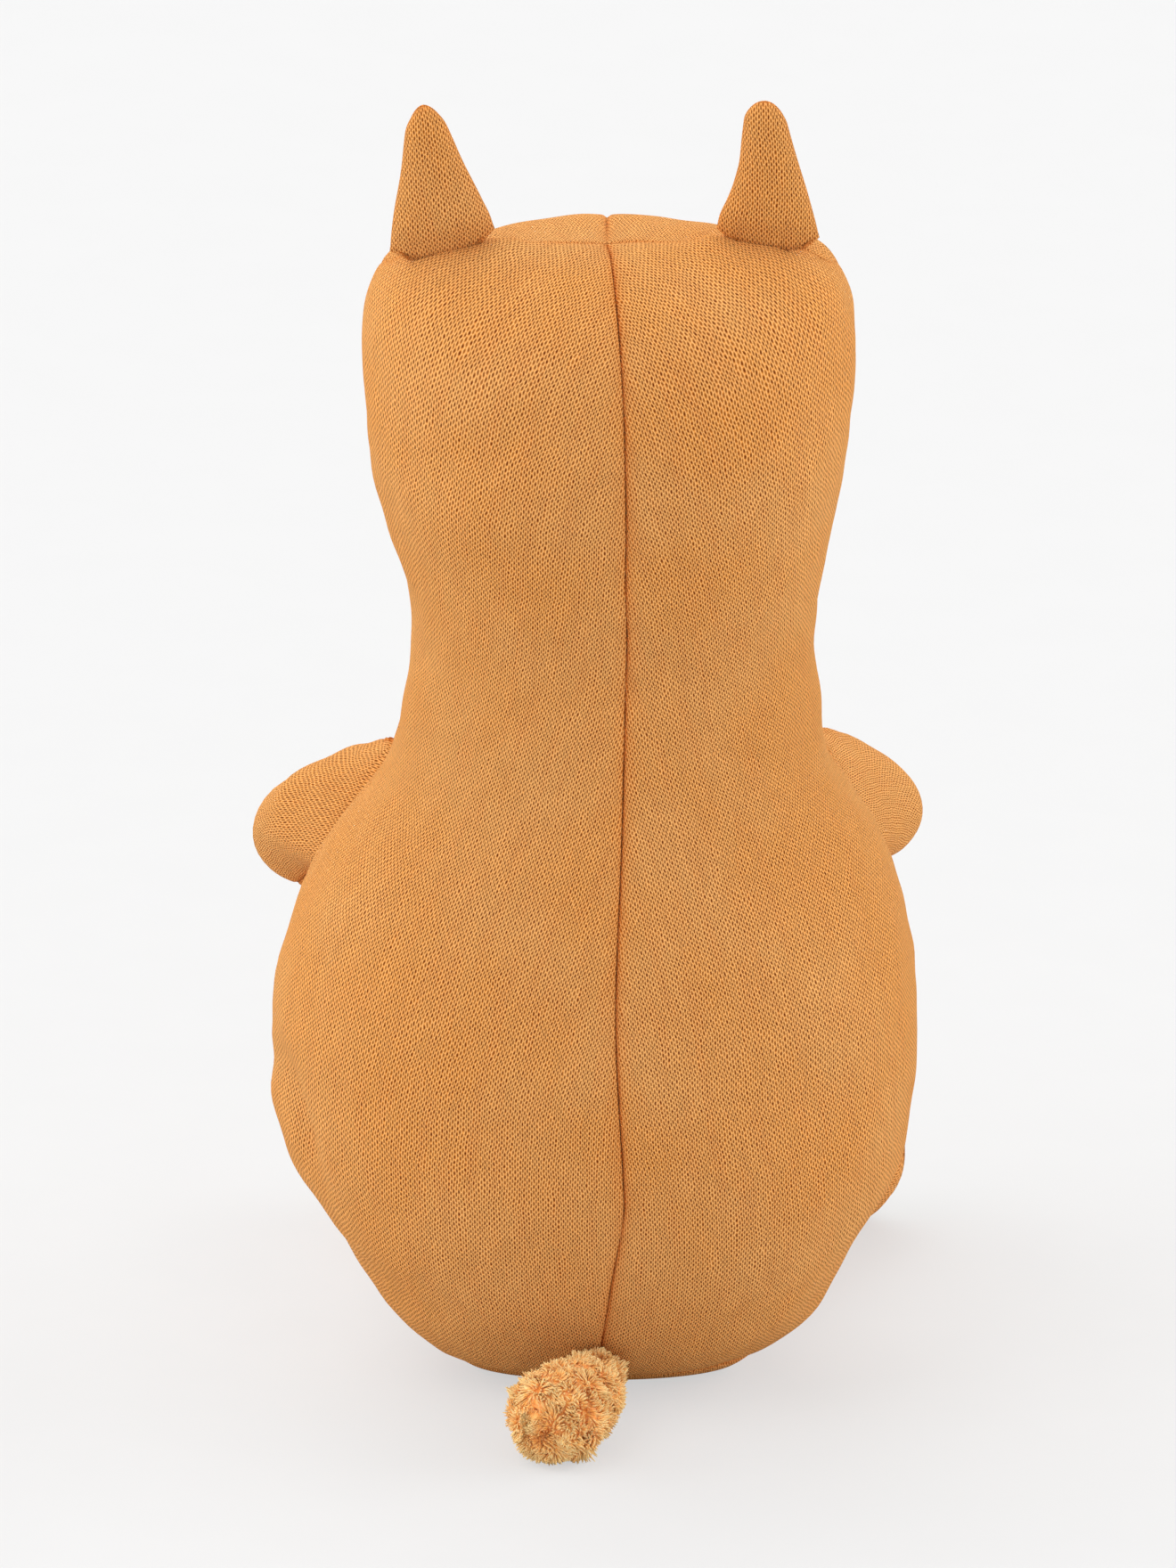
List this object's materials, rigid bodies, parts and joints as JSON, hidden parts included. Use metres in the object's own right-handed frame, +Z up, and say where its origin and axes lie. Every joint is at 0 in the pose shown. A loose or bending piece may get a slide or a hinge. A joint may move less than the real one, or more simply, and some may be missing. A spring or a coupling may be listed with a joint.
{
  "type": "plush toy",
  "caption": "Seated knitted plush animal with a stuffed pear-shaped body, pointed ears, short hinged arms and legs, and a rolled fur tail.",
  "frame": {"origin": "middle of the flat seat, on the surface that the toy sits on", "axes": "+Z up along the body, the face looks along -Y, +X is the toy's own left side"},
  "size_m": [0.189, 0.2259, 0.367],
  "materials": {
    "knit": "matte",
    "lining": "matte",
    "pile": "matte",
    "filling": "matte",
    "sacking": "matte",
    "eye": "gloss",
    "washer": "satin",
    "thread": "satin"
  },
  "bodies": {
    "torso": {"back_panel_left": "knit", "back_panel_right": "knit", "face_panel_left": "knit", "face_panel_right": "knit", "belly_panel": "knit", "seat_panel": "knit", "body_filling": "filling", "head_filling": "filling", "pellet_bag": "sacking", "left_eye": "eye", "left_eye_washer": "washer", "right_eye": "eye", "right_eye_washer": "washer", "nose": "thread", "mouth_stitching": "thread"},
    "left_ear": {"left_ear_back": "knit", "left_ear_lining": "knit"},
    "right_ear": {"right_ear_back": "knit", "right_ear_lining": "knit"},
    "left_arm": {"left_arm_cover": "knit", "left_arm_filling": "filling"},
    "right_arm": {"right_arm_cover": "knit", "right_arm_filling": "filling"},
    "left_leg": {"left_leg_cover": "knit", "left_foot_sole": "lining", "left_leg_filling": "filling"},
    "right_leg": {"right_leg_cover": "knit", "right_foot_sole": "lining", "right_leg_filling": "filling"},
    "tail": {"tail_fur": "pile", "tail_tape": "sacking"}
  },
  "joints": [
    {"name": "left_arm_swing", "type": "hinge", "parent": "torso", "child": "left_arm", "pos_m": [0.06624, -0.03302, 0.149], "axis": [0.4144, -0.1652, -0.895], "range_deg": [-60, 20], "stiffness_Nm_per_rad": 0.04},
    {"name": "right_arm_swing", "type": "hinge", "parent": "torso", "child": "right_arm", "pos_m": [-0.06589, -0.03338, 0.149], "axis": [0.4144, 0.1652, 0.895], "range_deg": [-60, 15], "stiffness_Nm_per_rad": 0.04},
    {"name": "left_leg_lift", "type": "hinge", "parent": "torso", "child": "left_leg", "pos_m": [0.03089, -0.04173, 0.0215], "axis": [-0.9903, -0.1392, 0], "range_deg": [0, 25], "stiffness_Nm_per_rad": 0.08},
    {"name": "right_leg_lift", "type": "hinge", "parent": "torso", "child": "right_leg", "pos_m": [-0.03122, -0.03996, 0.0215], "axis": [-0.9272, 0.3746, 0], "range_deg": [0, 25], "stiffness_Nm_per_rad": 0.08},
    {"name": "left_ear_fold", "type": "hinge", "parent": "torso", "child": "left_ear", "pos_m": [0.04414, 0.0127, 0.32484], "axis": [0.9529, 0, -0.3034], "range_deg": [-40, 60], "stiffness_Nm_per_rad": 0.002},
    {"name": "right_ear_fold", "type": "hinge", "parent": "torso", "child": "right_ear", "pos_m": [-0.04414, 0.0127, 0.32484], "axis": [0.9529, 0, 0.3034], "range_deg": [-40, 60], "stiffness_Nm_per_rad": 0.002},
    {"name": "tail_swing", "type": "hinge", "parent": "torso", "child": "tail", "pos_m": [0, 0.04038, 0.013], "axis": [0, 0, 1], "range_deg": [-35, 35], "stiffness_Nm_per_rad": 0.006}
  ]
}
